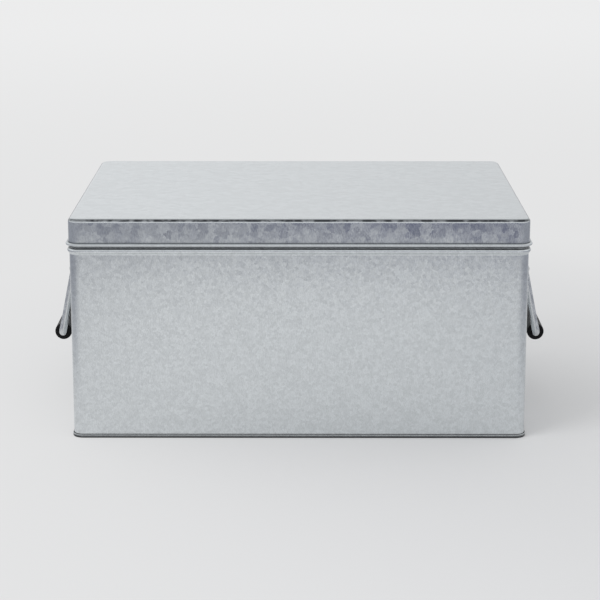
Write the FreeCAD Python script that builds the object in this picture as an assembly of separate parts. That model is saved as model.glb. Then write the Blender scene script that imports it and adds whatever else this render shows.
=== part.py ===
"""Galvanised sheet-steel storage box with a lift-off lid and a drop handle on each end.

Millimetres. The origin lies under the middle of the box, on the surface that it stands on.
X runs along the long side, Y away from the front, Z up. Sheet edges are drawn as a strip in
a section whose first coordinate is the distance outward from the wall's outer face.
"""
import math
import os

import FreeCAD, Part

V = FreeCAD.Vector
ORIGIN = V(0, 0, 0)
OUT = V(1, 0, 0)
ACROSS = V(0, 1, 0)
UP = V(0, 0, 1)
ANGLE_TOLERANCE = 1e-6

# Box
BOX_WIDTH = 500.0
BOX_DEPTH = 370.0
BOX_HEIGHT = 247.0
CORNER_RADIUS = 11.0
SHEET = 0.4
SEAM_GAP = 0.05
PANEL_INSET = 8.0

# Bottom seam, stop bead and rim of the wall. The bead's drop is from the lid's hem
SEAM_HEIGHT = 4.0
BEAD_DROP = 7.1
BEAD_HALF_LENGTH = 4.6
BEAD_DEPTH = 2.1
RIM_HEM_RADIUS = 0.6
RIM_HEM_DEPTH = 5.0
LID_REST_GAP = 0.3
LAP_WIDTH = 12.0
LAP_GROOVE_WIDTH = 0.6
LAP_GROOVE_DEPTH = 0.15
LAP_CLEARANCE = 2.0

# Lid. The skirt's depth is from the flat top to the middle of the hem
LID_CLEARANCE = 0.4
LID_BEND_RADIUS = 4.0
RIM_WIRE_RADIUS = 1.25
RIM_WIRE_CLEARANCE = 0.05
SKIRT_DEPTH = 28.4
HEM_WRAP = 300.0

# Bail. The pivot's drop is from the flat top of the lid
ROD_RADIUS = 4.0
UPSET_RADIUS = 4.4
BAIL_HALF_SPAN = 62.0
BAIL_DROP = 77.1
BAIL_BEND_RADIUS = 5.5
REST_ANGLE = 11.4
PIVOT_DROP = 84.4
PIVOT_OUT = 9.5
ARM_UPSET_LENGTH = 10.0
BAR_UPSET_LENGTH = 1.5
BAIL_HEAD_RADIUS = 5.6
BAIL_HEAD_LENGTH = 2.5

# Grip
GRIP_RADIUS = 9.7
GRIP_CLEARANCE = 0.08
GRIP_END_GAP = 0.3
GRIP_EDGE_RADIUS = 1.6

# Ear
EAR_SHEET = 2.0
EAR_BASE_WIDTH = 24.0
EAR_RISE = 17.0
EAR_NOSE_RADIUS = 6.0
EAR_BEND_RADIUS = 2.0
EAR_CORNER_RADIUS = 5.0
EAR_SIDE_GAP = 0.6
EYE_CLEARANCE = 0.08
HEAD_GAP = 0.3
REST_TAB_START = 10.0
REST_TAB_LENGTH = 8.0
REST_TAB_GAP = 0.3
REST_TAB_MARGIN = 2.0

# Rivets and the strip behind them
RIVET_RADIUS = 1.6
RIVET_CLEARANCE = 0.05
RIVET_HEAD_RADIUS = 3.6
RIVET_HEAD_HEIGHT = 1.9
RIVET_TAIL_RADIUS = 2.8
RIVET_TAIL_HEIGHT = 1.2
RIVET_SPACING = 22.0
RIVET_INSET = 10.0
STRIP_THICKNESS = 1.0
STRIP_MARGIN = 4.0

# Worked out from the sizes above
HALF_WIDTH = BOX_WIDTH / 2
HALF_DEPTH = BOX_DEPTH / 2
LAYER = SHEET + SEAM_GAP
WALL_LINE = -SHEET / 2
SEAM_BEND_HEIGHT = SHEET / 2 + 2 * LAYER
SEAM_FOLD_HEIGHT = SEAM_HEIGHT - LAYER - SHEET / 2
LID_TOP_LINE = BOX_HEIGHT - SHEET / 2
SKIRT_LINE = LID_CLEARANCE + SHEET / 2
HEM_HEIGHT = BOX_HEIGHT - SKIRT_DEPTH
HEM_RADIUS = RIM_WIRE_RADIUS + RIM_WIRE_CLEARANCE + SHEET / 2
BEAD_HEIGHT = HEM_HEIGHT - BEAD_DROP
RIM_ROUND = RIM_HEM_RADIUS + SHEET / 2
PIVOT_HEIGHT = BOX_HEIGHT - PIVOT_DROP
PIVOT_X = HALF_WIDTH + PIVOT_OUT
BAR_STRAIGHT = BAIL_HALF_SPAN - BAIL_BEND_RADIUS
GRIP_HALF_LENGTH = BAR_STRAIGHT - BAR_UPSET_LENGTH - GRIP_END_GAP
EAR_OUTER = BAR_STRAIGHT - EAR_SIDE_GAP
EAR_INNER = EAR_OUTER - EAR_BASE_WIDTH
RIVET_Y = EAR_INNER + RIVET_INSET


class Strip:
    """Sheet section drawn by its middle line, as straight runs and bends."""

    def __init__(self, x, y, heading, thickness):
        self.x, self.y = x, y
        self.heading = math.radians(heading)
        self.half = thickness / 2
        self.sides = {1: [], -1: []}

    def point(self, side, x=None, y=None, heading=None):
        """Point on the left (1) or right (-1) face of the sheet."""
        angle = self.heading if heading is None else heading
        px = self.x if x is None else x
        py = self.y if y is None else y
        return V(px - side * self.half * math.sin(angle), 0, py + side * self.half * math.cos(angle))

    def straight(self, length):
        starts = {side: self.point(side) for side in self.sides}
        self.x += length * math.cos(self.heading)
        self.y += length * math.sin(self.heading)
        for side, edges in self.sides.items():
            edges.append(Part.LineSegment(starts[side], self.point(side)).toShape())

    def bend(self, degrees, radius):
        """Turn left by a positive angle or right by a negative one, about a bend of that radius."""
        turn = math.copysign(1, degrees)
        centre_x = self.x - turn * radius * math.sin(self.heading)
        centre_y = self.y + turn * radius * math.cos(self.heading)
        places = []
        for share in (0, 0.5, 1):
            angle = self.heading + math.radians(degrees) * share
            x = centre_x + turn * radius * math.sin(angle)
            y = centre_y - turn * radius * math.cos(angle)
            places.append((x, y, angle))
        for side, edges in self.sides.items():
            first, middle, last = [self.point(side, *place) for place in places]
            edges.append(Part.Arc(first, middle, last).toShape())
        self.x, self.y, self.heading = places[-1]

    def face(self):
        """The two faces of the sheet, closed by a cap at each end."""
        left, right = self.sides[1], self.sides[-1]
        starts = [edges[0].firstVertex(True).Point for edges in (right, left)]
        ends = [edges[-1].lastVertex(True).Point for edges in (left, right)]
        first_cap = Part.LineSegment(*starts).toShape()
        last_cap = Part.LineSegment(*ends).toShape()
        return Part.Face(Part.Wire([first_cap, *left, last_cap, *reversed(right)]))


def fuse(shapes):
    joined = shapes[0].multiFuse(shapes[1:]) if len(shapes) > 1 else shapes[0]
    return joined.removeSplitter()


def only_solid(shape):
    return shape.Solids[0] if len(shape.Solids) == 1 else shape


def edges_along(shape, axis):
    """Edges of a block that run along an axis."""
    return [e for e in shape.Edges if e.tangentAt(e.FirstParameter).isParallel(axis, ANGLE_TOLERANCE)]


def round_box(half_x, half_y, radius, low, high):
    """Upright block with round vertical edges."""
    block = Part.makeBox(2 * half_x, 2 * half_y, high - low, V(-half_x, -half_y, low))
    return block.makeFillet(radius, edges_along(block, UP))


def ring(section):
    """Section taken right round the box: along the four sides and about the four corners."""
    reach_x = HALF_WIDTH - CORNER_RADIUS
    reach_y = HALF_DEPTH - CORNER_RADIUS
    pieces = []
    for turn in range(4):
        along, across = (reach_y, reach_x) if turn % 2 == 0 else (reach_x, reach_y)
        placed = section.copy()
        placed.translate(V(across + CORNER_RADIUS, -along, 0))
        side = placed.extrude(V(0, 2 * along, 0))
        corner_face = placed.copy()
        corner_face.translate(V(0, 2 * along, 0))
        corner = corner_face.revolve(V(across, along, 0), UP, 90)
        for piece in (side, corner):
            piece.rotate(ORIGIN, UP, 90 * turn)
            pieces.append(piece)
    return fuse(pieces)


def seam_panel(edge, low):
    """Sheet edge that runs right round, closed by its flat middle."""
    inset = PANEL_INSET
    middle = round_box(HALF_WIDTH - inset, HALF_DEPTH - inset, CORNER_RADIUS - inset, low, low + SHEET)
    return only_solid(fuse([ring(edge), middle]))


def rivet_places():
    for z in (PIVOT_HEIGHT - RIVET_SPACING / 2, PIVOT_HEIGHT + RIVET_SPACING / 2):
        yield RIVET_Y, z


def rivet_holes(start, length):
    """Bores for one ear's rivets, from start outward along X."""
    radius = RIVET_RADIUS + RIVET_CLEARANCE
    return [Part.makeCylinder(radius, length, V(start, y, z), OUT) for y, z in rivet_places()]


def four_ways(shape):
    """The shape at the right rear, and mirrored to the other three places."""
    rear = {"right": shape, "left": shape.mirror(ORIGIN, OUT)}
    for side, copy in rear.items():
        yield f"{side}_rear", copy
        yield f"{side}_front", copy.mirror(ORIGIN, ACROSS)


def rim_bend_height():
    """Middle of the rim's fold, where the lid's flat top or its rounded edge comes to rest on the rim."""
    across = LID_BEND_RADIUS - SKIRT_LINE - RIM_ROUND
    if across <= 0:
        return BOX_HEIGHT - SHEET - LID_REST_GAP - RIM_ROUND
    reach = LID_BEND_RADIUS - SHEET / 2 - RIM_ROUND - LID_REST_GAP
    return LID_TOP_LINE - LID_BEND_RADIUS + math.sqrt(reach ** 2 - across ** 2)


def wall_section():
    """Flange in the bottom seam, wall, stop bead and the rim folded inward."""
    bead_radius = (BEAD_HALF_LENGTH ** 2 + BEAD_DEPTH ** 2) / (4 * BEAD_DEPTH)
    bead_angle = math.degrees(math.asin(BEAD_HALF_LENGTH / (2 * bead_radius)))
    bead_top = BEAD_HEIGHT + BEAD_HALF_LENGTH
    strip = Strip(WALL_LINE + 2 * LAYER, SEAM_FOLD_HEIGHT, -90, SHEET)
    strip.straight(SEAM_FOLD_HEIGHT - SEAM_BEND_HEIGHT)
    strip.bend(-180, LAYER)
    strip.straight(BEAD_HEIGHT - BEAD_HALF_LENGTH - SEAM_BEND_HEIGHT)
    strip.bend(-bead_angle, bead_radius)
    strip.bend(2 * bead_angle, bead_radius)
    strip.bend(-bead_angle, bead_radius)
    strip.straight(rim_bend_height() - bead_top)
    strip.bend(180, RIM_HEM_RADIUS)
    strip.straight(RIM_HEM_DEPTH)
    return strip.face()


def make_body_wall():
    """One sheet wrapped round the box, lapped up the middle of the back and bored for the rivets."""
    lap_low = SEAM_HEIGHT + LAP_CLEARANCE
    lap_height = BEAD_HEIGHT - BEAD_HALF_LENGTH - LAP_CLEARANCE - lap_low
    lap = Part.makeBox(LAP_WIDTH, SHEET, lap_height, V(-LAP_WIDTH / 2, HALF_DEPTH - 2 * SHEET, lap_low))
    groove_corner = V(LAP_WIDTH / 2 - LAP_GROOVE_WIDTH, HALF_DEPTH - LAP_GROOVE_DEPTH, lap_low)
    groove = Part.makeBox(LAP_GROOVE_WIDTH, SHEET, lap_height, groove_corner)
    cuts = [groove]
    for bore in rivet_holes(HALF_WIDTH - 2 * SHEET, 3 * SHEET):
        cuts.extend(copy for name, copy in four_ways(bore))
    return only_solid(fuse([ring(wall_section()), lap]).cut(cuts))


def make_body_bottom():
    """Flat bottom whose edge turns up and hooks over the wall's flange."""
    strip = Strip(-PANEL_INSET, SHEET / 2, 0, SHEET)
    strip.straight(PANEL_INSET + WALL_LINE + LAYER)
    strip.bend(90, 2 * LAYER)
    strip.straight(SEAM_FOLD_HEIGHT - SEAM_BEND_HEIGHT)
    strip.bend(180, LAYER)
    strip.straight(SEAM_FOLD_HEIGHT - SEAM_BEND_HEIGHT)
    return seam_panel(strip.face(), 0)


def make_lid_pan():
    """Flat top, rounded edge, skirt, and a hem rolled outward round the rim wire."""
    strip = Strip(-PANEL_INSET, LID_TOP_LINE, 0, SHEET)
    strip.straight(PANEL_INSET + SKIRT_LINE - LID_BEND_RADIUS)
    strip.bend(-90, LID_BEND_RADIUS)
    strip.straight(LID_TOP_LINE - LID_BEND_RADIUS - HEM_HEIGHT)
    strip.bend(HEM_WRAP, HEM_RADIUS)
    return seam_panel(strip.face(), BOX_HEIGHT - SHEET)


def make_lid_rim_wire():
    centre = V(SKIRT_LINE + HEM_RADIUS, 0, HEM_HEIGHT)
    circle = Part.Circle(centre, ACROSS, RIM_WIRE_RADIUS).toShape()
    return only_solid(ring(Part.Face(Part.Wire(circle))))


def rod_bend(start, heading, centre, axis, radius):
    """Quarter bend of a round rod that starts at a point with a heading."""
    circle = Part.Circle(start, heading, radius).toShape()
    return Part.Face(Part.Wire(circle)).revolve(centre, axis, 90)


def bail_half():
    """Headed end, upper bend, arm, swollen lower bend and half of the bar, hanging straight down."""
    bend = BAIL_BEND_RADIUS
    down = UP * -1
    bar_height = PIVOT_HEIGHT - BAIL_DROP
    arm_top = PIVOT_HEIGHT - bend
    arm_end = bar_height + bend
    head_start = EAR_OUTER - EAR_SHEET - HEAD_GAP
    journal_start = V(PIVOT_X, head_start, PIVOT_HEIGHT)
    journal_end = V(PIVOT_X, BAR_STRAIGHT, PIVOT_HEIGHT)
    arm_foot = V(PIVOT_X, BAIL_HALF_SPAN, arm_end)
    bar_end = V(PIVOT_X, BAR_STRAIGHT, bar_height)
    arm_length = arm_top - arm_end - ARM_UPSET_LENGTH
    arm_start = V(PIVOT_X, BAIL_HALF_SPAN, arm_top)
    upset_start = arm_start + down * arm_length
    upset_end = bar_end - ACROSS * BAR_UPSET_LENGTH
    return [
        Part.makeCone(BAIL_HEAD_RADIUS, ROD_RADIUS, BAIL_HEAD_LENGTH, journal_start, ACROSS * -1),
        Part.makeCylinder(ROD_RADIUS, BAR_STRAIGHT - head_start, journal_start, ACROSS),
        rod_bend(journal_end, ACROSS, journal_end + down * bend, OUT * -1, ROD_RADIUS),
        Part.makeCylinder(ROD_RADIUS, arm_length, arm_start, down),
        Part.makeCone(ROD_RADIUS, UPSET_RADIUS, ARM_UPSET_LENGTH, upset_start, down),
        rod_bend(arm_foot, down, arm_foot - ACROSS * bend, OUT * -1, UPSET_RADIUS),
        Part.makeCone(UPSET_RADIUS, ROD_RADIUS, BAR_UPSET_LENGTH, bar_end, ACROSS * -1),
        Part.makeCylinder(ROD_RADIUS, upset_end.y, upset_end, ACROSS * -1),
    ]


def swung(shape):
    """Turned outward from straight down to where the rest tabs hold the handle."""
    turned = shape.copy()
    turned.rotate(V(PIVOT_X, 0, PIVOT_HEIGHT), ACROSS, -REST_ANGLE)
    return turned


def make_bail():
    rear = bail_half()
    front = [piece.mirror(ORIGIN, ACROSS) for piece in rear]
    return only_solid(swung(fuse(rear + front)))


def make_grip():
    """Tube with round edges that turns on the bar."""
    start = V(PIVOT_X, -GRIP_HALF_LENGTH, PIVOT_HEIGHT - BAIL_DROP)
    outside = Part.makeCylinder(GRIP_RADIUS, 2 * GRIP_HALF_LENGTH, start, ACROSS)
    rims = [edge for edge in outside.Edges if isinstance(edge.Curve, Part.Circle)]
    bore = Part.makeCylinder(ROD_RADIUS + GRIP_CLEARANCE, 2 * GRIP_HALF_LENGTH, start, ACROSS)
    return only_solid(swung(outside.makeFillet(GRIP_EDGE_RADIUS, rims).cut(bore)))


def tangent_point(point, centre, radius, turn):
    """Where a line from a point touches a circle, on its left (1) or right (-1) side."""
    away = point - centre
    angle = math.atan2(away.z, away.x) + turn * math.acos(radius / away.Length)
    return centre + V(radius * math.cos(angle), 0, radius * math.sin(angle))


def along_arm(distance, outward):
    """Point in the plane of a resting arm, from the pivot down the arm and square to it."""
    tilt = math.radians(REST_ANGLE)
    x = PIVOT_X + distance * math.sin(tilt) + outward * math.cos(tilt)
    z = PIVOT_HEIGHT - distance * math.cos(tilt) + outward * math.sin(tilt)
    return V(x, 0, z)


def ear_outline():
    """Side outline of an ear: a round nose about the eye, running down to the rest tab."""
    pivot = V(PIVOT_X, 0, PIVOT_HEIGHT)
    toe = along_arm(REST_TAB_START + REST_TAB_LENGTH + REST_TAB_MARGIN, -ROD_RADIUS / 2)
    top = V(HALF_WIDTH, 0, PIVOT_HEIGHT + EAR_RISE)
    upper = tangent_point(top, pivot, EAR_NOSE_RADIUS, -1)
    lower = tangent_point(toe, pivot, EAR_NOSE_RADIUS, 1)
    tip = pivot + (upper + lower - pivot * 2).normalize() * EAR_NOSE_RADIUS
    heel = V(HALF_WIDTH, 0, toe.z)
    lines = [(top, upper), (lower, toe), (toe, heel), (heel, top)]
    edges = [Part.LineSegment(*ends).toShape() for ends in lines]
    edges.insert(1, Part.Arc(upper, tip, lower).toShape())
    return Part.Face(Part.Wire(edges)), heel.z, top.z


def make_ear():
    """Bent plate at the right rear: riveted base, eye for the bail and a tab that the arm rests on."""
    outline, low, high = ear_outline()
    strip = Strip(EAR_INNER, EAR_SHEET / 2, 0, EAR_SHEET)
    strip.straight(EAR_BASE_WIDTH - EAR_SHEET / 2 - EAR_BEND_RADIUS)
    strip.bend(90, EAR_BEND_RADIUS)
    strip.straight(PIVOT_OUT + EAR_NOSE_RADIUS - EAR_SHEET / 2 - EAR_BEND_RADIUS)
    plate = strip.face()
    plate.Placement = FreeCAD.Placement(FreeCAD.Matrix(0, 0, 1, HALF_WIDTH, 1, 0, 0, 0, 0, 1, 0, low))
    plate = plate.extrude(V(0, 0, high - low))
    side = outline.extrude(V(0, EAR_OUTER, 0))
    width = EAR_BASE_WIDTH + EAR_CORNER_RADIUS
    front = Part.makeBox(PIVOT_OUT + EAR_NOSE_RADIUS, width, high - low, V(HALF_WIDTH, EAR_INNER, low))
    inner_edges = [edge for edge in edges_along(front, OUT) if edge.CenterOfMass.y < RIVET_Y]
    front = front.makeFillet(EAR_CORNER_RADIUS, inner_edges)
    eye_start = V(PIVOT_X, 0, PIVOT_HEIGHT)
    eye = Part.makeCylinder(ROD_RADIUS + EYE_CLEARANCE, BAIL_HALF_SPAN, eye_start, ACROSS)
    ear = fuse([plate.common(side).common(front), make_rest_tab()])
    return only_solid(ear.cut([eye, *rivet_holes(HALF_WIDTH, EAR_SHEET)]))


def make_rest_tab():
    """Tongue of the ear that reaches behind the arm, parallel to it."""
    inner = -ROD_RADIUS - REST_TAB_GAP - EAR_SHEET
    corners = [
        along_arm(REST_TAB_START + down * REST_TAB_LENGTH, inner + out * EAR_SHEET)
        for down, out in ((0, 0), (1, 0), (1, 1), (0, 1), (0, 0))
    ]
    face = Part.Face(Part.makePolygon(corners))
    face.translate(V(0, EAR_OUTER - EAR_SHEET, 0))
    return face.extrude(V(0, BAIL_HALF_SPAN + ROD_RADIUS - EAR_OUTER + EAR_SHEET, 0))


def make_rivets():
    """Two rivets of one ear: domed head outside, shank, and a flat tail on the strip inside."""
    foot = HALF_WIDTH - SHEET - STRIP_THICKNESS
    seat = HALF_WIDTH + EAR_SHEET
    dome_radius = (RIVET_HEAD_RADIUS ** 2 + RIVET_HEAD_HEIGHT ** 2) / (2 * RIVET_HEAD_HEIGHT)
    rivets = []
    for y, z in rivet_places():
        tail_start = V(foot - RIVET_TAIL_HEIGHT, y, z)
        shank = Part.makeCylinder(RIVET_RADIUS, seat - foot, V(foot, y, z), OUT)
        tail = Part.makeCylinder(RIVET_TAIL_RADIUS, RIVET_TAIL_HEIGHT, tail_start, OUT)
        ball = Part.makeSphere(dome_radius, V(seat + RIVET_HEAD_HEIGHT - dome_radius, y, z))
        keep = Part.makeCylinder(RIVET_HEAD_RADIUS, RIVET_HEAD_HEIGHT, V(seat, y, z), OUT)
        rivets.append(only_solid(fuse([shank, tail, ball.common(keep)])))
    return Part.makeCompound(rivets)


def make_backing_strip():
    """Strip inside the wall that spreads the pull of both ears' rivets."""
    half_length = EAR_OUTER + STRIP_MARGIN
    half_height = RIVET_SPACING / 2 + RIVET_HEAD_RADIUS + STRIP_MARGIN
    start = V(HALF_WIDTH - SHEET - STRIP_THICKNESS, -half_length, PIVOT_HEIGHT - half_height)
    strip = Part.makeBox(STRIP_THICKNESS, 2 * half_length, 2 * half_height, start)
    strip = strip.makeFillet(EAR_CORNER_RADIUS, edges_along(strip, OUT))
    bores = rivet_holes(start.x, STRIP_THICKNESS)
    return only_solid(strip.cut(bores + [bore.mirror(ORIGIN, ACROSS) for bore in bores]))


def all_parts():
    yield "body_wall", make_body_wall()
    yield "body_bottom", make_body_bottom()
    yield "lid_pan", make_lid_pan()
    yield "lid_rim_wire", make_lid_rim_wire()
    for name, make in (("bail", make_bail), ("grip", make_grip), ("backing_strip", make_backing_strip)):
        shape = make()
        yield f"right_{name}", shape
        yield f"left_{name}", shape.mirror(ORIGIN, OUT)
    for place, shape in four_ways(make_ear()):
        yield f"{place}_ear", shape
    for place, shape in four_ways(make_rivets()):
        yield f"{place}_rivets", shape


def main():
    os.makedirs("parts", exist_ok=True)
    for name, shape in all_parts():
        shape.exportStep(f"parts/{name}.step")
        print(f"{name}: {len(shape.Solids)} solid(s), {shape.Volume / 1000:.2f} cm3, valid {shape.isValid()}")


main()
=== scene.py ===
"""Looks of a galvanised sheet-steel storage box: finishes, studio and camera.

Metres, in the frame of the solids: X along the long side, Y away from the front, Z up.
"""

import logging
import math
from dataclasses import dataclass, replace
from enum import Enum

import bmesh
import bpy
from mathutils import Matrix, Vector


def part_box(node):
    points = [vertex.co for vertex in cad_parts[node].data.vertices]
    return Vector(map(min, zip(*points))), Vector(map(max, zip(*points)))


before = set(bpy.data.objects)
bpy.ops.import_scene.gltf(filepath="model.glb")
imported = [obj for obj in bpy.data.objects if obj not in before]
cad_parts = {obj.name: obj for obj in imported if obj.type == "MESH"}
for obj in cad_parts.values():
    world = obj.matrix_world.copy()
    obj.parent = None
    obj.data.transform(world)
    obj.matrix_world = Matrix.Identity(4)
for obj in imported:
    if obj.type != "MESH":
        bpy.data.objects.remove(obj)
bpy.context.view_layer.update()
IMAGE_SIDE = 600
LOG = logging.getLogger("storage_box")

# Half widths of the blends in what gloss sees: from front to back, and from left to right behind the box and
# ahead of it.
FRONT_BLEND = 0.25
BACKDROP_BLEND = 0.2
FRONT_ROOM_BLEND = 0.25
# Levels between which most of a noise lies.
NOISE_SPAN = (0.3, 0.7)
# Samples of the occlusion that paints shade into creases, and of the rounded edges.
PAINTED_SHADE_SAMPLES = 8
EDGE_SAMPLES = 6
# Height that no sheet of the box reaches.
OUT_OF_REACH = 10.0
# Tint that leaves a colour as it is.
WHITE = (1.0, 1.0, 1.0)

Colour = tuple[float, float, float]
Point = tuple[float, float, float]
Span = tuple[float, float]
Feed = bpy.types.NodeSocket | float | tuple


class Side(Enum):
    """End of the box that a handle hangs on."""

    LEFT = "left"
    RIGHT = "right"


class Place(Enum):
    """Ear of a handle, by its nearness to the front of the box."""

    FRONT = "front"
    REAR = "rear"


class NodeGraph:
    """Node tree of one finish or of the sky, with short calls that add and join nodes."""

    def __init__(self, tree: bpy.types.NodeTree) -> None:
        """Start from an empty tree."""
        self.tree = tree
        tree.nodes.clear()

    def add(self, kind: str, **settings: object) -> bpy.types.Node:
        """Add a node.

        Args:
            kind: Type name of the node.
            settings: Properties of the node to set.

        Returns:
            The new node.
        """
        node = self.tree.nodes.new(kind)
        for name, value in settings.items():
            setattr(node, name, value)
        return node

    def feed(self, node: bpy.types.Node, **values: Feed) -> None:
        """Link or set inputs of a node.

        Args:
            node: Node whose inputs are fed.
            values: Socket names in lower case with underscores, and what goes into each.
        """
        for name, value in values.items():
            self._plug(node.inputs[name.replace("_", " ").title()], value)

    def _plug(self, socket: bpy.types.NodeSocket, value: Feed) -> None:
        """Link a socket to another, or set its own value.

        Args:
            socket: Socket that is fed.
            value: Socket to link from, or the value.
        """
        if isinstance(value, bpy.types.NodeSocket):
            self.tree.links.new(value, socket)
        else:
            socket.default_value = value

    def math(self, operation: str, *terms: Feed) -> bpy.types.NodeSocket:
        """Work out a number.

        Args:
            operation: Name of the operation.
            terms: Its one, two or three terms.

        Returns:
            The socket that holds the result.
        """
        node = self.add("ShaderNodeMath", operation=operation)
        self._feed_terms(node, terms)
        return node.outputs[0]

    def vector(self, operation: str, *terms: Feed) -> bpy.types.NodeSocket:
        """Work out a vector.

        Args:
            operation: Name of the operation.
            terms: Its one, two or three terms. The factor of a SCALE comes second.

        Returns:
            The socket that holds the result.
        """
        node = self.add("ShaderNodeVectorMath", operation=operation)
        if operation == "SCALE":
            self._feed_terms(node, terms[:1])
            self.feed(node, scale=terms[1])
        else:
            self._feed_terms(node, terms)
        return node.outputs["Value" if operation in ("LENGTH", "DOT_PRODUCT") else "Vector"]

    def _feed_terms(self, node: bpy.types.Node, terms: tuple[Feed, ...]) -> None:
        """Feed a node's inputs in their order.

        Args:
            node: Node whose inputs are fed.
            terms: What goes into them.
        """
        for socket, term in zip(node.inputs, terms):
            self._plug(socket, term)

    def ramp(
        self, value: Feed, start: float, end: float, low: float = 0.0, high: float = 1.0,
    ) -> bpy.types.NodeSocket:
        """Take a number smoothly from one level to another.

        Args:
            value: The number.
            start: Where the ramp begins.
            end: Where it ends.
            low: Level before the start.
            high: Level after the end.

        Returns:
            The socket that holds the level.
        """
        node = self.add("ShaderNodeMapRange", interpolation_type="SMOOTHSTEP")
        self.feed(node, value=value, from_min=start, from_max=end, to_min=low, to_max=high)
        return node.outputs["Result"]

    def tint(self, share: Feed, first: Feed, second: Feed) -> bpy.types.NodeSocket:
        """Mix two colours.

        Args:
            share: Share of the second colour.
            first: First colour.
            second: Second colour.

        Returns:
            The socket that holds the mixture.
        """
        node = self.add("ShaderNodeMix", data_type="RGBA")
        sockets = [socket for socket in node.inputs if socket.enabled]
        for socket, value in zip(sockets, (share, first, second)):
            self._plug(socket, value)
        return next(socket for socket in node.outputs if socket.enabled)

    def noise(self, place: Feed, size: float, detail: float = 2.0) -> bpy.types.Node:
        """Add soft noise.

        Args:
            place: Where it is read.
            size: Width of its patches, in metres.
            detail: Number of finer layers.

        Returns:
            The noise node.
        """
        node = self.add("ShaderNodeTexNoise")
        self.feed(node, vector=place, scale=1 / size, detail=detail)
        return node

    def cells(self, place: Feed, size: float) -> bpy.types.Node:
        """Add random cells.

        Args:
            place: Where they are read.
            size: Width of a cell, in metres.

        Returns:
            The cell node.
        """
        node = self.add("ShaderNodeTexVoronoi")
        self.feed(node, vector=place, scale=1 / size)
        return node

    def spread(self, colour: bpy.types.NodeSocket, width: float) -> bpy.types.NodeSocket:
        """Turn a random colour into a vector about zero.

        Args:
            colour: Random colour.
            width: Full width of each part of the vector.

        Returns:
            The socket that holds the vector.
        """
        return self.vector("SCALE", self.vector("SUBTRACT", colour, (0.5, 0.5, 0.5)), width)


def opaque(colour: Colour) -> tuple[float, float, float, float]:
    """Give the colour a full alpha."""
    return (*colour, 1.0)


def new_material(name: str) -> tuple[bpy.types.Material, NodeGraph, bpy.types.Node]:
    """Make a material with a principled shader.

    Args:
        name: Name of the finish.

    Returns:
        The material, its graph and the shader node.
    """
    material = bpy.data.materials.new(name)
    material.use_nodes = True
    graph = NodeGraph(material.node_tree)
    shader = graph.add("ShaderNodeBsdfPrincipled")
    output = graph.add("ShaderNodeOutputMaterial")
    graph.feed(output, surface=shader.outputs["BSDF"])
    return material, graph, shader


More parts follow.
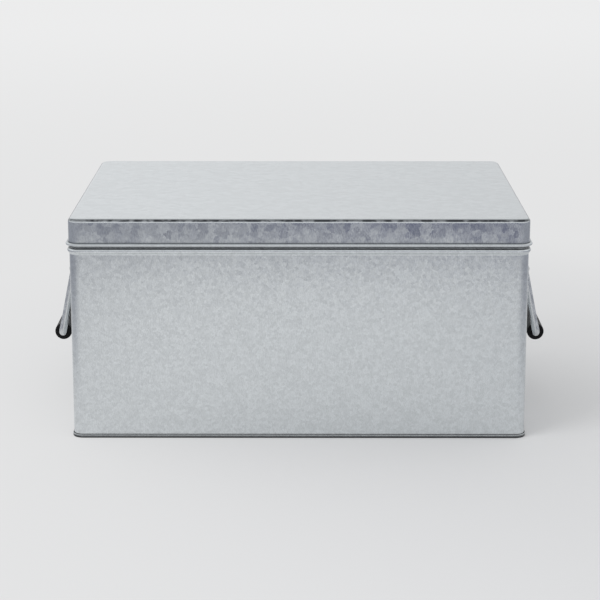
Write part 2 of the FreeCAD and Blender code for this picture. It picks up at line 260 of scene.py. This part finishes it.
@dataclass(frozen=True)
class SpangledZinc:
    """Hot-dip galvanised sheet: crystals of zinc that each lean a little their own way.

    Attributes:
        name: Name of the finish.
        colour: Colour of the bare zinc.
        crystal: Width of a crystal.
        jag: How far a crystal's outline is jagged, as a share of its width.
        twig: Width of a crystal's twigs, as a share of its own.
        lean: Full width of the crystals' lean, as a slope. Twigs lean half as much.
        shade: Share by which crystals differ in brightness.
        roughness: Mean roughness.
        roughness_spread: Difference of roughness between crystals.
        frost: Width of the fine grain.
        frost_span: Levels of the grain's noise between which its brightness changes.
        frost_stretch: How many times taller than wide the grain is on an upright sheet.
        frost_lean: Full width of the fine grain's lean, as a slope.
        wave: Length of the sheet's shallow waves.
        wave_lean: Full width of the waves' lean, as a slope.
        painted_shade_reach: Distance within which creases, seams and gaps get painted shade.
        painted_shade_span: Openness at which the painted shade is full, and at which it ends.
        painted_shade_tint: Colour that the painted shade multiplies by.
        painted_reflection_above: Height above which the sheet's bend gets a painted dark reflection.
        painted_reflection_begin: Upward tilts of the bend between which the painted reflection begins, as
            sines.
        painted_reflection_end: Upward tilts between which it ends.
        painted_reflection_dash: Length over which the painted reflection changes.
        painted_reflection_span: Levels of its noise between which it changes.
        painted_reflection_least: Share of the painted reflection where it is faintest.
        painted_reflection_tint: Colour that the painted reflection multiplies by.
    """

    name: str
    colour: Colour
    crystal: float
    lean: float
    shade: float
    roughness: float
    jag: float = 0.9
    twig: float = 0.4
    roughness_spread: float = 0.08
    frost: float = 0.0013
    frost_span: Span = (0.35, 0.65)
    frost_stretch: float = 2.5
    frost_lean: float = 0.03
    wave: float = 0.13
    wave_lean: float = 0.004
    # Painted shade: creases, seams and gaps are darkened in the colour, the more so the more enclosed they
    # are.
    painted_shade_reach: float = 0.007
    painted_shade_span: Span = (0.58, 0.88)
    painted_shade_tint: Colour = (0.03, 0.031, 0.034)
    # Painted reflection: an uneven dark line painted along the bend, where a dark reflection falls.
    painted_reflection_above: float = OUT_OF_REACH
    painted_reflection_begin: Span = (0.2, 0.4)
    painted_reflection_end: Span = (0.75, 0.92)
    painted_reflection_dash: float = 0.007
    painted_reflection_span: Span = (0.35, 0.6)
    painted_reflection_least: float = 0.5
    painted_reflection_tint: Colour = (0.12, 0.124, 0.132)

    def material(self) -> bpy.types.Material:
        """Make the material.

        Returns:
            The material.
        """
        material, graph, shader = new_material(self.name)
        place = graph.add("ShaderNodeTexCoord").outputs["Object"]
        jag = graph.noise(place, self.crystal / 2, detail=3.0).outputs["Color"]
        jagged = graph.vector("ADD", place, graph.spread(jag, self.crystal * self.jag))
        crystals = graph.cells(jagged, self.crystal)
        twigs = graph.cells(jagged, self.crystal * self.twig)
        drawn_out = graph.vector("MULTIPLY", place, (1.0, 1.0, 1 / self.frost_stretch))
        frost = graph.noise(drawn_out, self.frost)
        wave = graph.noise(place, self.wave, detail=1.0)
        leans = (
            (crystals, self.lean),
            (twigs, self.lean / 2),
            (frost, self.frost_lean),
            (wave, self.wave_lean),
        )
        self._tilt(graph, shader, leans)
        self._shade(graph, shader, crystals, frost)
        shader.inputs["Metallic"].default_value = 1.0
        return material

    def _tilt(
        self, graph: NodeGraph, shader: bpy.types.Node, leans: tuple[tuple[bpy.types.Node, float], ...],
    ) -> None:
        """Lean the surface by crystal, by twig of a crystal, by grain and by wave of the sheet.

        Args:
            graph: Graph of the finish.
            shader: Its shader.
            leans: Textures that lean it, each with the full width of its lean.
        """
        normal = graph.add("ShaderNodeNewGeometry").outputs["Normal"]
        for node, width in leans:
            normal = graph.vector("ADD", normal, graph.spread(node.outputs["Color"], width))
        graph.feed(shader, normal=graph.vector("NORMALIZE", normal))

    def _shade(
        self, graph: NodeGraph, shader: bpy.types.Node, crystals: bpy.types.Node, frost: bpy.types.Node,
    ) -> None:
        """Vary brightness and roughness by crystal, and paint shade into the creases and a dark reflection
        along the bend.

        Args:
            graph: Graph of the finish.
            shader: Its shader.
            crystals: Texture of the crystals.
            frost: Texture of the fine grain.
        """
        channels = graph.add("ShaderNodeSeparateColor")
        graph.feed(channels, color=crystals.outputs["Color"])
        level = graph.ramp(channels.outputs["Red"], 0.0, 1.0, 1 - self.shade, 1 + self.shade)
        grain = graph.ramp(frost.outputs["Fac"], *self.frost_span, 1 - self.shade, 1 + self.shade)
        colour = graph.vector("SCALE", self.colour, graph.math("MULTIPLY", level, grain))
        # Painted shade: the colour is darkened where the surface is enclosed, as in creases and gaps.
        open_air = graph.add("ShaderNodeAmbientOcclusion", samples=PAINTED_SHADE_SAMPLES)
        graph.feed(open_air, distance=self.painted_shade_reach)
        painted_shade = graph.ramp(open_air.outputs["AO"], *self.painted_shade_span)
        tint = graph.tint(painted_shade, opaque(self.painted_shade_tint), opaque(WHITE))
        with_painted_shade = graph.vector("MULTIPLY", colour, tint)
        graph.feed(shader, base_color=graph.vector("MULTIPLY", with_painted_shade, self._painted_dark_reflection(graph)))
        low = self.roughness - self.roughness_spread / 2
        high = self.roughness + self.roughness_spread / 2
        graph.feed(shader, roughness=graph.ramp(channels.outputs["Green"], 0.0, 1.0, low, high))

    def _painted_dark_reflection(self, graph: NodeGraph) -> bpy.types.NodeSocket:
        """Paint an uneven dark reflection along a bend, as a dark line in the colour.

        Args:
            graph: Graph of the finish.

        Returns:
            The socket that holds the colour to multiply by.
        """
        place = graph.add("ShaderNodeTexCoord").outputs["Object"]
        height = graph.add("ShaderNodeSeparateXYZ")
        graph.feed(height, vector=place)
        tilt = graph.add("ShaderNodeSeparateXYZ")
        graph.feed(tilt, vector=graph.add("ShaderNodeNewGeometry").outputs["Normal"])
        noise = graph.noise(place, self.painted_reflection_dash, detail=3.0)
        # Painted reflection: the dark line along the bend is multiplied into the colour.
        share = graph.math("GREATER_THAN", height.outputs["Z"], self.painted_reflection_above)
        for edge in (
            graph.ramp(tilt.outputs["Z"], *self.painted_reflection_begin),
            graph.ramp(tilt.outputs["Z"], *self.painted_reflection_end, 1.0, 0.0),
            graph.ramp(noise.outputs["Fac"], *self.painted_reflection_span, self.painted_reflection_least, 1.0),
        ):
            share = graph.math("MULTIPLY", share, edge)
        return graph.tint(share, opaque(WHITE), opaque(self.painted_reflection_tint))


@dataclass(frozen=True)
class DrawnRod:
    """Galvanised steel rod, with streaks along its length.

    Attributes:
        name: Name of the finish.
        colour: Colour of the zinc.
        roughness: Mean roughness.
        roughness_spread: Difference of roughness between blotches.
        tilt: Degrees by which the rods lean out from upright.
        streak: Width of a streak.
        stretch: How many times longer than wide a streak is.
        streak_lean: Full width of the streaks' lean, as a slope.
        blotch: Width of the blotches.
        shade: Share by which streaks differ in brightness, twice as much as blotches do.
    """

    name: str
    colour: Colour
    roughness: float
    roughness_spread: float = 0.12
    tilt: float = 11.4
    streak: float = 0.0015
    stretch: float = 30.0
    streak_lean: float = 0.07
    blotch: float = 0.006
    shade: float = 0.10

    def material(self) -> bpy.types.Material:
        """Make the material.

        Returns:
            The material.
        """
        material, graph, shader = new_material(self.name)
        place = graph.add("ShaderNodeTexCoord").outputs["Object"]
        streaks = graph.noise(self._along_rod(graph, place), self.streak, detail=2.0)
        blotches = graph.noise(place, self.blotch)
        normal = graph.add("ShaderNodeNewGeometry").outputs["Normal"]
        leaning = graph.vector("ADD", normal, graph.spread(streaks.outputs["Color"], self.streak_lean))
        graph.feed(shader, normal=graph.vector("NORMALIZE", leaning))
        streaked = graph.ramp(streaks.outputs["Fac"], *NOISE_SPAN, 1 - self.shade, 1 + self.shade)
        blotched = graph.ramp(blotches.outputs["Fac"], *NOISE_SPAN, 1 - self.shade / 2, 1 + self.shade / 2)
        level = graph.math("MULTIPLY", streaked, blotched)
        graph.feed(shader, base_color=graph.vector("SCALE", self.colour, level))
        low = self.roughness - self.roughness_spread / 2
        high = self.roughness + self.roughness_spread / 2
        graph.feed(shader, roughness=graph.ramp(blotches.outputs["Fac"], *NOISE_SPAN, low, high))
        shader.inputs["Metallic"].default_value = 1.0
        return material

    def _along_rod(self, graph: NodeGraph, place: Feed) -> bpy.types.NodeSocket:
        """Work out the place across and along a leaning rod, drawn out along it and alike at both ends.

        Args:
            graph: Graph of the finish.
            place: Place on the rod.

        Returns:
            The socket that holds the drawn-out place.
        """
        lean_x, lean_z = math.sin(math.radians(self.tilt)), math.cos(math.radians(self.tilt))
        either_end = graph.vector("ABSOLUTE", place)
        across = graph.vector("DOT_PRODUCT", either_end, (lean_z, 0.0, lean_x))
        aside = graph.vector("DOT_PRODUCT", either_end, (0.0, 1.0, 0.0))
        along = graph.vector("DOT_PRODUCT", either_end, (-lean_x / self.stretch, 0.0, lean_z / self.stretch))
        joined = graph.add("ShaderNodeCombineXYZ")
        graph.feed(joined, x=across, y=aside, z=along)
        return joined.outputs["Vector"]


@dataclass(frozen=True)
class PressedPlate:
    """Zinc-plated pressed steel, with edges broken by the tumbling barrel.

    Attributes:
        name: Name of the finish.
        colour: Colour of the plating.
        roughness: Mean roughness.
        roughness_spread: Difference of roughness between patches.
        edge: Radius of the broken edges.
        mottle: Width of the plating's cloudy patches.
        grain: Width of the fine grain.
        grain_lean: Full width of the grain's lean, as a slope.
        shade: Share by which patches differ in brightness.
    """

    name: str
    colour: Colour
    roughness: float
    roughness_spread: float = 0.14
    edge: float = 0.0004
    mottle: float = 0.005
    grain: float = 0.0006
    grain_lean: float = 0.08
    shade: float = 0.1

    def material(self) -> bpy.types.Material:
        """Make the material.

        Returns:
            The material.
        """
        material, graph, shader = new_material(self.name)
        place = graph.add("ShaderNodeTexCoord").outputs["Object"]
        grain = graph.noise(place, self.grain)
        mottle = graph.noise(place, self.mottle, detail=4.0)
        broken_edge = graph.add("ShaderNodeBevel", samples=EDGE_SAMPLES)
        graph.feed(broken_edge, radius=self.edge)
        normal = broken_edge.outputs["Normal"]
        leaning = graph.vector("ADD", normal, graph.spread(grain.outputs["Color"], self.grain_lean))
        graph.feed(shader, normal=graph.vector("NORMALIZE", leaning))
        level = graph.ramp(mottle.outputs["Fac"], *NOISE_SPAN, 1 - self.shade, 1 + self.shade)
        graph.feed(shader, base_color=graph.vector("SCALE", self.colour, level))
        dull = self.roughness + self.roughness_spread / 2
        bright = self.roughness - self.roughness_spread / 2
        graph.feed(shader, roughness=graph.ramp(mottle.outputs["Fac"], *NOISE_SPAN, dull, bright))
        shader.inputs["Metallic"].default_value = 1.0
        return material


@dataclass(frozen=True)
class SatinPlastic:
    """Black moulded plastic with a fine satin grain.

    Attributes:
        name: Name of the finish.
        colour: Colour of the plastic.
        scuffed: Colour where it is rubbed.
        roughness: Least and most roughness.
        gloss: Level of its reflection.
        grain: Width of the mould's grain.
        grain_lean: Full width of the grain's lean, as a slope.
        scuff: Width of the rubbed patches.
        scuff_span: Levels of their noise between which the plastic is rubbed.
    """

    name: str
    colour: Colour
    scuffed: Colour
    roughness: Span
    gloss: float = 0.15
    grain: float = 0.0007
    grain_lean: float = 0.12
    scuff: float = 0.012
    scuff_span: Span = (0.5, 0.75)

    def material(self) -> bpy.types.Material:
        """Make the material.

        Returns:
            The material.
        """
        material, graph, shader = new_material(self.name)
        place = graph.add("ShaderNodeTexCoord").outputs["Object"]
        grain = graph.noise(place, self.grain)
        scuffs = graph.noise(place, self.scuff, detail=5.0)
        normal = graph.add("ShaderNodeNewGeometry").outputs["Normal"]
        leaning = graph.vector("ADD", normal, graph.spread(grain.outputs["Color"], self.grain_lean))
        graph.feed(shader, normal=graph.vector("NORMALIZE", leaning))
        rubbed = graph.ramp(scuffs.outputs["Fac"], *self.scuff_span)
        graph.feed(shader, base_color=graph.tint(rubbed, opaque(self.colour), opaque(self.scuffed)))
        graph.feed(shader, roughness=graph.ramp(scuffs.outputs["Fac"], *NOISE_SPAN, *self.roughness))
        shader.inputs["Specular IOR Level"].default_value = self.gloss
        return material


def dress(node: str, material: bpy.types.Material) -> None:
    """Give a solid its finish.

    Args:
        node: Name of the solid.
        material: The finish.
    """
    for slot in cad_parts[node].material_slots:
        slot.material = material
    LOG.info("%s: %s", node, material.name)


@dataclass
class BoxBody:
    """Wall and bottom of the box.

    Attributes:
        wall: Sheet of the wall.
        bottom: Sheet of the bottom.
    """

    wall: SpangledZinc
    bottom: SpangledZinc

    def dress(self) -> None:
        """Give the wall and the bottom their sheet."""
        dress("body_wall", self.wall.material())
        dress("body_bottom", self.bottom.material())


@dataclass
class Lid:
    """Lift-off lid and the wire in its hem.

    Attributes:
        sheet: Sheet of the pan.
        wire: Finish of the wire.
    """

    sheet: SpangledZinc
    wire: DrawnRod

    def dress(self) -> None:
        """Give the pan and the wire their finishes."""
        dress("lid_pan", self.sheet.material())
        dress("lid_rim_wire", self.wire.material())


@dataclass
class Handles:
    """Drop handles of both ends, with their ears, rivets and backing strips.

    Attributes:
        rod: Finish of the bails.
        plate: Finish of the ears and strips.
        rivet: Finish of the rivets.
        plastic: Finish of the grips.
    """

    rod: DrawnRod
    plate: PressedPlate
    rivet: PressedPlate
    plastic: SatinPlastic

    def dress(self) -> None:
        """Give each piece of both handles its finish."""
        finishes = (self.rod, self.plate, self.rivet, self.plastic)
        rod, plate, rivet, plastic = [finish.material() for finish in finishes]
        for side in Side:
            dress(f"{side.value}_bail", rod)
            dress(f"{side.value}_grip", plastic)
            dress(f"{side.value}_backing_strip", plate)
            for place in Place:
                dress(f"{side.value}_{place.value}_ear", plate)
                dress(f"{side.value}_{place.value}_rivets", rivet)


@dataclass(frozen=True)
class StudioPaper:
    """Pale paper floor that fades into the pale surroundings, with a dim room beyond its edges.

    Attributes:
        colour: Colour of the paper.
        middle: Point from which the fades are measured.
        near: Colour that it fades to first.
        near_fade: Distances between which it fades to that colour.
        shadow_middle: Middle of the box's shadow, where the fade is held back.
        shadow_room: Distances from there between which the fade comes into its own.
        shadow_share: Share of the fade within those distances.
        far: Colour that it fades to further out, as bright as the sky at the horizon.
        far_fade: Distances between which it fades to the far colour.
        side_dim: Colour of the room beyond the paper's sides, which shows only in gloss.
        front_dim: Colours of the room beyond its front, left and right, which show only in gloss.
        side_edge: Distances to each side between which the room takes over.
        front_edge: Distances ahead between which the room takes over.
    """

    colour: Colour
    middle: Point
    near: Colour
    near_fade: Span
    shadow_middle: Point
    shadow_room: Span
    shadow_share: float
    far: Colour
    far_fade: Span
    side_dim: Colour
    front_dim: tuple[Colour, Colour]
    side_edge: Span
    front_edge: Span

    def material(self) -> bpy.types.Material:
        """Make the material.

        Returns:
            The material.
        """
        material = bpy.data.materials.new("studio_paper")
        material.use_nodes = True
        graph = NodeGraph(material.node_tree)
        place = graph.add("ShaderNodeTexCoord").outputs["Object"]
        ray = graph.add("ShaderNodeLightPath")
        away = graph.vector("LENGTH", graph.vector("SUBTRACT", place, self.middle))
        seen = graph.math("MAXIMUM", ray.outputs["Is Camera Ray"], ray.outputs["Is Glossy Ray"])
        paper = graph.add("ShaderNodeBsdfDiffuse")
        graph.feed(paper, color=opaque(self.colour))
        glow = graph.tint(graph.ramp(away, *self.far_fade), opaque(self.near), opaque(self.far))
        from_shadow = graph.vector("LENGTH", graph.vector("SUBTRACT", place, self.shadow_middle))
        held_back = graph.ramp(from_shadow, *self.shadow_room, self.shadow_share, 1.0)
        faded = graph.math("MULTIPLY", graph.ramp(away, *self.near_fade), held_back)
        surface = self._glow_over(graph, paper, glow, graph.math("MULTIPLY", faded, seen))
        parts = graph.add("ShaderNodeSeparateXYZ")
        graph.feed(parts, vector=place)
        aside = graph.ramp(graph.math("ABSOLUTE", parts.outputs["X"]), *self.side_edge)
        ahead = graph.ramp(graph.math("MULTIPLY", parts.outputs["Y"], -1.0), *self.front_edge)
        to_right = graph.ramp(parts.outputs["X"], -FRONT_ROOM_BLEND, FRONT_ROOM_BLEND)
        front_room = graph.tint(to_right, *[opaque(colour) for colour in self.front_dim])
        for share, colour in ((aside, opaque(self.side_dim)), (ahead, front_room)):
            in_gloss = graph.math("MULTIPLY", share, ray.outputs["Is Glossy Ray"])
            surface = self._glow_over(graph, surface, colour, in_gloss)
        output = graph.add("ShaderNodeOutputMaterial")
        graph.feed(output, surface=surface.outputs["Shader"])
        return material

    def _glow_over(
        self, graph: NodeGraph, below: bpy.types.Node, colour: Feed, share: bpy.types.NodeSocket,
    ) -> bpy.types.Node:
        """Mix an even glow over a shader.

        Args:
            graph: Graph of the floor.
            below: Shader that the glow covers.
            colour: Colour of the glow.
            share: Share of the glow.

        Returns:
            The mixed shader.
        """
        glow = graph.add("ShaderNodeEmission")
        graph.feed(glow, color=colour)
        mix = graph.add("ShaderNodeMixShader")
        for socket, source in zip(mix.inputs, (share, below.outputs[0], glow.outputs[0])):
            graph.tree.links.new(source, socket)
        return mix


@dataclass(frozen=True)
class SoftBox:
    """Rectangular soft light.

    Attributes:
        name: Name of the light.
        place: Its middle.
        aim: Point that it faces.
        width: Width of its face.
        height: Height of its face.
        watts: Its power.
    """

    name: str
    place: Point
    aim: Point
    width: float
    height: float
    watts: float

    def hang(self) -> None:
        """Add the light to the scene."""
        light = bpy.data.lights.new(self.name, "AREA")
        light.shape = "RECTANGLE"
        light.size, light.size_y, light.energy = self.width, self.height, self.watts
        lamp = bpy.data.objects.new(self.name, light)
        lamp.location = self.place
        lamp.rotation_euler = (Vector(self.aim) - Vector(self.place)).to_track_quat("-Z", "Y").to_euler()
        lamp.visible_camera = False
        lamp.visible_glossy = False
        bpy.context.scene.collection.objects.link(lamp)


@dataclass
class Studio:
    """Floor, sky and lights.

    Attributes:
        paper: Finish of the floor.
        lights: Soft lights.
        floor_radius: Radius of the floor.
        floor_sides: Number of sides of its outline.
        fill: Colour of the even light from all round.
        horizon: Colour that the camera sees all round.
        backdrop: Colours that gloss sees low down behind the box, on the left and on the right.
        front: Colour that gloss sees low down in front of the box.
        zenith: Colour that gloss sees overhead.
        zenith_band: Heights between which the zenith takes over, as sines of the angle.
    """

    paper: StudioPaper
    lights: tuple[SoftBox, ...]
    floor_radius: float
    floor_sides: int
    fill: Colour
    horizon: Colour
    backdrop: tuple[Colour, Colour]
    front: Colour
    zenith: Colour
    zenith_band: Span

    def build(self) -> None:
        """Lay the floor, make the sky and hang the lights."""
        self._lay_floor()
        self._make_sky()
        for light in self.lights:
            light.hang()
        LOG.info("studio: floor, sky and %d lights", len(self.lights))

    def _lay_floor(self) -> None:
        """Make the floor disc."""
        mesh = bpy.data.meshes.new("studio_floor")
        disc = bmesh.new()
        bmesh.ops.create_circle(disc, cap_ends=True, radius=self.floor_radius, segments=self.floor_sides)
        disc.to_mesh(mesh)
        disc.free()
        mesh.materials.append(self.paper.material())
        floor = bpy.data.objects.new("studio_floor", mesh)
        bpy.context.scene.collection.objects.link(floor)

    def _make_sky(self) -> None:
        """Make even light for matt surfaces, a pale horizon for the camera, and a dimmer zenith for gloss."""
        world = bpy.data.worlds.new("studio_sky")
        world.use_nodes = True
        bpy.context.scene.world = world
        graph = NodeGraph(world.node_tree)
        parts = graph.add("ShaderNodeSeparateXYZ")
        graph.feed(parts, vector=graph.add("ShaderNodeTexCoord").outputs["Generated"])
        ray = graph.add("ShaderNodeLightPath")
        to_right = graph.ramp(parts.outputs["X"], -BACKDROP_BLEND, BACKDROP_BLEND)
        backdrop = graph.tint(to_right, *[opaque(colour) for colour in self.backdrop])
        behind = graph.ramp(parts.outputs["Y"], -FRONT_BLEND, FRONT_BLEND)
        low_sky = graph.tint(behind, opaque(self.front), backdrop)
        seen_sky = graph.tint(graph.ramp(parts.outputs["Z"], *self.zenith_band), low_sky, opaque(self.zenith))
        glossy_or_fill = graph.tint(ray.outputs["Is Glossy Ray"], opaque(self.fill), seen_sky)
        sky = graph.tint(ray.outputs["Is Camera Ray"], glossy_or_fill, opaque(self.horizon))
        background = graph.add("ShaderNodeBackground")
        graph.feed(background, color=sky)
        output = graph.add("ShaderNodeOutputWorld")
        graph.feed(output, surface=background.outputs["Background"])


@dataclass(frozen=True)
class PhotoCamera:
    """Camera at the photograph's viewing angle.

    Attributes:
        place: Where it stands.
        pitch: Degrees that it looks down.
        turn: Degrees that it turns to the left.
        focal_pixels: Focal length, in pixels of the image.
        drop: Share of the image by which the lens is shifted down.
    """

    place: Point
    pitch: float
    turn: float
    focal_pixels: float
    drop: float

    def set_up(self) -> None:
        """Add the camera and make it the scene's own."""
        data = bpy.data.cameras.new("photo_camera")
        data.lens = self.focal_pixels / IMAGE_SIDE * data.sensor_width
        data.shift_y = -self.drop
        camera = bpy.data.objects.new("photo_camera", data)
        camera.location = self.place
        camera.rotation_euler = (math.radians(90 - self.pitch), 0.0, math.radians(self.turn))
        bpy.context.scene.collection.objects.link(camera)
        bpy.context.scene.camera = camera


LID_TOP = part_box("lid_pan")[1][2]
# Drop from the flat top to below the lid's rounded edge.
LID_BEND = 0.005
ZINC = (0.70, 0.73, 0.745)
WALL_SHEET = SpangledZinc(
    "wall_zinc", ZINC, crystal=0.0034, lean=0.010, shade=0.05, roughness=0.17, frost=0.0011,
)
# The bottom's painted shade reaches out over more open places.
BOTTOM_SHEET = replace(WALL_SHEET, name="bottom_zinc", painted_shade_span=(0.6, 1.0))
# The lid's creases get a lighter painted shade, and its top bend gets a painted dark reflection.
LID_SHEET = SpangledZinc(
    "lid_zinc", ZINC, crystal=0.0075, lean=0.016, shade=0.035, roughness=0.16,
    painted_shade_tint=(0.45, 0.46, 0.47), painted_reflection_above=LID_TOP - LID_BEND,
)
ROD = DrawnRod("rod_zinc", (0.68, 0.70, 0.71), roughness=0.23)
WIRE = replace(ROD, name="wire_zinc")
PLATE = PressedPlate("plate_zinc", (0.64, 0.66, 0.67), roughness=0.32)
RIVET = PressedPlate("rivet_zinc", (0.68, 0.69, 0.70), roughness=0.26, edge=0.0002)
GRIP = SatinPlastic(
    "grip_black", (0.004, 0.004, 0.0045), scuffed=(0.010, 0.010, 0.011), roughness=(0.36, 0.50),
)
PAPER = StudioPaper(
    colour=(0.70, 0.705, 0.715), middle=(0.3, -0.45, 0.0), near=(0.775, 0.777, 0.78), near_fade=(0.0, 0.9),
    shadow_middle=(0.15, 0.25, 0.0), shadow_room=(0.3, 0.7), shadow_share=0.5,
    far=(0.84, 0.842, 0.845), far_fade=(1.2, 5.0), side_dim=(0.33, 0.34, 0.38),
    front_dim=((0.20, 0.21, 0.26), (0.11, 0.12, 0.195)), side_edge=(0.1, 1.2), front_edge=(1.03, 1.40),
)
KEY = SoftBox("key_light", place=(-1.7, -1.45, 1.9), aim=(0.0, 0.0, 0.12), width=1.5, height=1.5, watts=24.0)
STUDIO = Studio(
    paper=PAPER, lights=(KEY,), floor_radius=14.0, floor_sides=96, fill=(0.86, 0.86, 0.86),
    horizon=(0.84, 0.842, 0.845), backdrop=((0.83, 0.84, 0.85), (0.72, 0.73, 0.74)), front=(0.80, 0.81, 0.83),
    zenith=(0.46, 0.465, 0.475), zenith_band=(0.55, 0.85),
)
CAMERA = PhotoCamera(
    place=(0.0064, -2.1991, 0.6592), pitch=13.092, turn=0.152, focal_pixels=1905.5, drop=0.05,
)


def main() -> None:
    """Dress the box, the lid and the handles, and set up the studio and the camera."""
    logging.basicConfig(level=logging.INFO, format="%(message)s")
    bpy.context.scene.view_settings.view_transform = "Standard"
    BoxBody(WALL_SHEET, BOTTOM_SHEET).dress()
    Lid(LID_SHEET, WIRE).dress()
    Handles(ROD, PLATE, RIVET, GRIP).dress()
    STUDIO.build()
    CAMERA.set_up()


if __name__ == "__main__":
    main()
